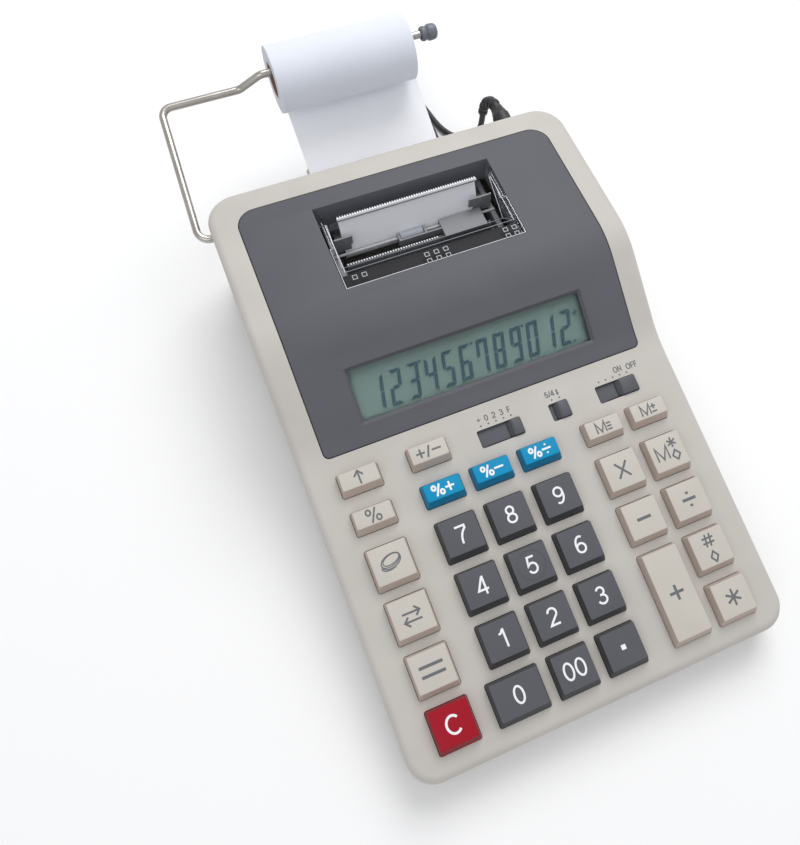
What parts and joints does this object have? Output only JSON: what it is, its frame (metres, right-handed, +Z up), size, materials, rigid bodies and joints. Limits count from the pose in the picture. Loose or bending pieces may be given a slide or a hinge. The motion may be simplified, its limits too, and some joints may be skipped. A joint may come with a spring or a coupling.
{
  "type": "printing calculator",
  "caption": "Desktop printing calculator: sloping keypad, angled display, clear hinged printer cover with a tear bar, paper roll on a bent wire arm, plug-in adapter on a coiled lead.",
  "frame": {"origin": "on the table, under the middle of the calculator with its arm and roll, without the lead", "axes": "+Z up from the table, +Y from the user towards the paper roll, +X to the user's right"},
  "size_m": [0.1562, 0.3284, 0.0722],
  "materials": {
    "case": "fine-textured beige-grey moulding",
    "fascia": "fine-textured slate grey moulding",
    "beige_key": "smooth satin beige",
    "dark_key": "smooth satin dark grey",
    "blue_key": "smooth satin blue",
    "red_key": "smooth satin deep red",
    "clear": "clear polished plastic",
    "display": "grey-green display",
    "frame": "grey moulding",
    "white_plastic": "white moulding",
    "rubber": "black rubber",
    "board": "green circuit board",
    "paper": "white uncoated paper",
    "card": "brown card tube",
    "wire": "bright plated wire",
    "black_plastic": "black moulding",
    "cord": "black flexible sheath"
  },
  "bodies": {
    "root": {"upper_case": "case", "lower_case": "case", "fascia": "fascia", "lcd_window": "clear", "lcd_module": "display", "printer_frame": "frame", "guide_shaft": "wire", "main_board": "board", "key_mat": "rubber", "front_foot": "rubber", "rear_foot": "rubber", "paper_web": "paper", "dc_jack": "black_plastic", "dc_plug": "black_plastic", "cord_lead": "cord", "cord_coil": "cord", "wall_adapter": "black_plastic"},
    "key_feed": {"key_feed": "beige_key"},
    "key_sign": {"key_sign": "beige_key"},
    "key_percent": {"key_percent": "beige_key"},
    "key_tax_plus": {"key_tax_plus": "blue_key"},
    "key_tax_minus": {"key_tax_minus": "blue_key"},
    "key_rate": {"key_rate": "blue_key"},
    "key_memory_equals": {"key_memory_equals": "beige_key"},
    "key_memory_plus_minus": {"key_memory_plus_minus": "beige_key"},
    "key_currency": {"key_currency": "beige_key"},
    "key_7": {"key_7": "dark_key"},
    "key_8": {"key_8": "dark_key"},
    "key_9": {"key_9": "dark_key"},
    "key_multiply": {"key_multiply": "beige_key"},
    "key_memory_total": {"key_memory_total": "beige_key"},
    "key_local": {"key_local": "beige_key"},
    "key_4": {"key_4": "dark_key"},
    "key_5": {"key_5": "dark_key"},
    "key_6": {"key_6": "dark_key"},
    "key_minus": {"key_minus": "beige_key"},
    "key_divide": {"key_divide": "beige_key"},
    "key_equals": {"key_equals": "beige_key"},
    "key_1": {"key_1": "dark_key"},
    "key_2": {"key_2": "dark_key"},
    "key_3": {"key_3": "dark_key"},
    "key_plus": {"key_plus": "beige_key"},
    "key_subtotal": {"key_subtotal": "beige_key"},
    "key_clear": {"key_clear": "red_key"},
    "key_0": {"key_0": "dark_key"},
    "key_00": {"key_00": "dark_key"},
    "key_point": {"key_point": "dark_key"},
    "key_total": {"key_total": "beige_key"},
    "switch_decimals": {"switch_decimals": "fascia"},
    "switch_rounding": {"switch_rounding": "fascia"},
    "switch_power": {"switch_power": "fascia"},
    "cover": {"printer_cover": "clear"},
    "battery_cover": {"battery_cover": "case"},
    "arm": {"roll_arm": "wire", "arm_end_cap": "rubber"},
    "roll": {"paper_roll": "paper", "roll_core": "card"},
    "platen": {"platen_roller": "rubber"},
    "carriage": {"print_carriage": "frame"},
    "wheel": {"print_wheel": "white_plastic"}
  },
  "joints": [
    {"name": "key_feed_press", "type": "slide", "parent": "root", "child": "key_feed", "axis": [0, 0.1392, -0.9903], "range_m": [0, 0.0025], "stiffness_N_per_m": 200, "springref_m": -0.0004},
    {"name": "key_sign_press", "type": "slide", "parent": "root", "child": "key_sign", "axis": [0, 0.1392, -0.9903], "range_m": [0, 0.0025], "stiffness_N_per_m": 200, "springref_m": -0.0004},
    {"name": "key_percent_press", "type": "slide", "parent": "root", "child": "key_percent", "axis": [0, 0.1392, -0.9903], "range_m": [0, 0.0025], "stiffness_N_per_m": 200, "springref_m": -0.0004},
    {"name": "key_tax_plus_press", "type": "slide", "parent": "root", "child": "key_tax_plus", "axis": [0, 0.1392, -0.9903], "range_m": [0, 0.0025], "stiffness_N_per_m": 200, "springref_m": -0.0004},
    {"name": "key_tax_minus_press", "type": "slide", "parent": "root", "child": "key_tax_minus", "axis": [0, 0.1392, -0.9903], "range_m": [0, 0.0025], "stiffness_N_per_m": 200, "springref_m": -0.0004},
    {"name": "key_rate_press", "type": "slide", "parent": "root", "child": "key_rate", "axis": [0, 0.1392, -0.9903], "range_m": [0, 0.0025], "stiffness_N_per_m": 200, "springref_m": -0.0004},
    {"name": "key_memory_equals_press", "type": "slide", "parent": "root", "child": "key_memory_equals", "axis": [0, 0.1392, -0.9903], "range_m": [0, 0.0025], "stiffness_N_per_m": 200, "springref_m": -0.0004},
    {"name": "key_memory_plus_minus_press", "type": "slide", "parent": "root", "child": "key_memory_plus_minus", "axis": [0, 0.1392, -0.9903], "range_m": [0, 0.0025], "stiffness_N_per_m": 200, "springref_m": -0.0004},
    {"name": "key_currency_press", "type": "slide", "parent": "root", "child": "key_currency", "axis": [0, 0.1392, -0.9903], "range_m": [0, 0.0025], "stiffness_N_per_m": 200, "springref_m": -0.0004},
    {"name": "key_7_press", "type": "slide", "parent": "root", "child": "key_7", "axis": [0, 0.1392, -0.9903], "range_m": [0, 0.0025], "stiffness_N_per_m": 200, "springref_m": -0.0004},
    {"name": "key_8_press", "type": "slide", "parent": "root", "child": "key_8", "axis": [0, 0.1392, -0.9903], "range_m": [0, 0.0025], "stiffness_N_per_m": 200, "springref_m": -0.0004},
    {"name": "key_9_press", "type": "slide", "parent": "root", "child": "key_9", "axis": [0, 0.1392, -0.9903], "range_m": [0, 0.0025], "stiffness_N_per_m": 200, "springref_m": -0.0004},
    {"name": "key_multiply_press", "type": "slide", "parent": "root", "child": "key_multiply", "axis": [0, 0.1392, -0.9903], "range_m": [0, 0.0025], "stiffness_N_per_m": 200, "springref_m": -0.0004},
    {"name": "key_memory_total_press", "type": "slide", "parent": "root", "child": "key_memory_total", "axis": [0, 0.1392, -0.9903], "range_m": [0, 0.0025], "stiffness_N_per_m": 200, "springref_m": -0.0004},
    {"name": "key_local_press", "type": "slide", "parent": "root", "child": "key_local", "axis": [0, 0.1392, -0.9903], "range_m": [0, 0.0025], "stiffness_N_per_m": 200, "springref_m": -0.0004},
    {"name": "key_4_press", "type": "slide", "parent": "root", "child": "key_4", "axis": [0, 0.1392, -0.9903], "range_m": [0, 0.0025], "stiffness_N_per_m": 200, "springref_m": -0.0004},
    {"name": "key_5_press", "type": "slide", "parent": "root", "child": "key_5", "axis": [0, 0.1392, -0.9903], "range_m": [0, 0.0025], "stiffness_N_per_m": 200, "springref_m": -0.0004},
    {"name": "key_6_press", "type": "slide", "parent": "root", "child": "key_6", "axis": [0, 0.1392, -0.9903], "range_m": [0, 0.0025], "stiffness_N_per_m": 200, "springref_m": -0.0004},
    {"name": "key_minus_press", "type": "slide", "parent": "root", "child": "key_minus", "axis": [0, 0.1392, -0.9903], "range_m": [0, 0.0025], "stiffness_N_per_m": 200, "springref_m": -0.0004},
    {"name": "key_divide_press", "type": "slide", "parent": "root", "child": "key_divide", "axis": [0, 0.1392, -0.9903], "range_m": [0, 0.0025], "stiffness_N_per_m": 200, "springref_m": -0.0004},
    {"name": "key_equals_press", "type": "slide", "parent": "root", "child": "key_equals", "axis": [0, 0.1392, -0.9903], "range_m": [0, 0.0025], "stiffness_N_per_m": 200, "springref_m": -0.0004},
    {"name": "key_1_press", "type": "slide", "parent": "root", "child": "key_1", "axis": [0, 0.1392, -0.9903], "range_m": [0, 0.0025], "stiffness_N_per_m": 200, "springref_m": -0.0004},
    {"name": "key_2_press", "type": "slide", "parent": "root", "child": "key_2", "axis": [0, 0.1392, -0.9903], "range_m": [0, 0.0025], "stiffness_N_per_m": 200, "springref_m": -0.0004},
    {"name": "key_3_press", "type": "slide", "parent": "root", "child": "key_3", "axis": [0, 0.1392, -0.9903], "range_m": [0, 0.0025], "stiffness_N_per_m": 200, "springref_m": -0.0004},
    {"name": "key_plus_press", "type": "slide", "parent": "root", "child": "key_plus", "axis": [0, 0.1392, -0.9903], "range_m": [0, 0.0025], "stiffness_N_per_m": 200, "springref_m": -0.0004},
    {"name": "key_subtotal_press", "type": "slide", "parent": "root", "child": "key_subtotal", "axis": [0, 0.1392, -0.9903], "range_m": [0, 0.0025], "stiffness_N_per_m": 200, "springref_m": -0.0004},
    {"name": "key_clear_press", "type": "slide", "parent": "root", "child": "key_clear", "axis": [0, 0.1392, -0.9903], "range_m": [0, 0.0025], "stiffness_N_per_m": 200, "springref_m": -0.0004},
    {"name": "key_0_press", "type": "slide", "parent": "root", "child": "key_0", "axis": [0, 0.1392, -0.9903], "range_m": [0, 0.0025], "stiffness_N_per_m": 200, "springref_m": -0.0004},
    {"name": "key_00_press", "type": "slide", "parent": "root", "child": "key_00", "axis": [0, 0.1392, -0.9903], "range_m": [0, 0.0025], "stiffness_N_per_m": 200, "springref_m": -0.0004},
    {"name": "key_point_press", "type": "slide", "parent": "root", "child": "key_point", "axis": [0, 0.1392, -0.9903], "range_m": [0, 0.0025], "stiffness_N_per_m": 200, "springref_m": -0.0004},
    {"name": "key_total_press", "type": "slide", "parent": "root", "child": "key_total", "axis": [0, 0.1392, -0.9903], "range_m": [0, 0.0025], "stiffness_N_per_m": 200, "springref_m": -0.0004},
    {"name": "switch_decimals_slide", "type": "slide", "parent": "root", "child": "switch_decimals", "axis": [1, 0, 0], "range_m": [-0.0118, 0]},
    {"name": "switch_rounding_slide", "type": "slide", "parent": "root", "child": "switch_rounding", "axis": [1, 0, 0], "range_m": [-0.0017, 0]},
    {"name": "switch_power_slide", "type": "slide", "parent": "root", "child": "switch_power", "axis": [1, 0, 0], "range_m": [-0.0083, 0]},
    {"name": "cover_hinge", "type": "hinge", "parent": "root", "child": "cover", "pos_m": [0.00311, 0.06288, 0.05092], "axis": [-1, 0, 0], "range_deg": [0, 80]},
    {"name": "battery_cover_slide", "type": "slide", "parent": "root", "child": "battery_cover", "axis": [0, 1, 0], "range_m": [0, 0.011]},
    {"name": "arm_swing", "type": "hinge", "parent": "root", "child": "arm", "pos_m": [0.00311, 0.07455, 0.044], "axis": [1, 0, 0], "range_deg": [0, 80]},
    {"name": "roll_spin", "type": "hinge", "parent": "arm", "child": "roll", "pos_m": [0.00311, 0.12655, 0.0593], "axis": [1, 0, 0], "continuous": true},
    {"name": "platen_spin", "type": "hinge", "parent": "root", "child": "platen", "pos_m": [0.00311, 0.05897, 0.03762], "axis": [1, 0, 0], "continuous": true},
    {"name": "carriage_slide", "type": "slide", "parent": "root", "child": "carriage", "axis": [1, 0, 0], "range_m": [-0.019, 0]},
    {"name": "wheel_spin", "type": "hinge", "parent": "carriage", "child": "wheel", "pos_m": [0.00311, 0.05218, 0.04124], "axis": [1, 0, 0], "continuous": true}
  ],
  "couplings": [
    {"joint": "platen_spin", "follows": "roll_spin", "ratio": 2.48}
  ]
}
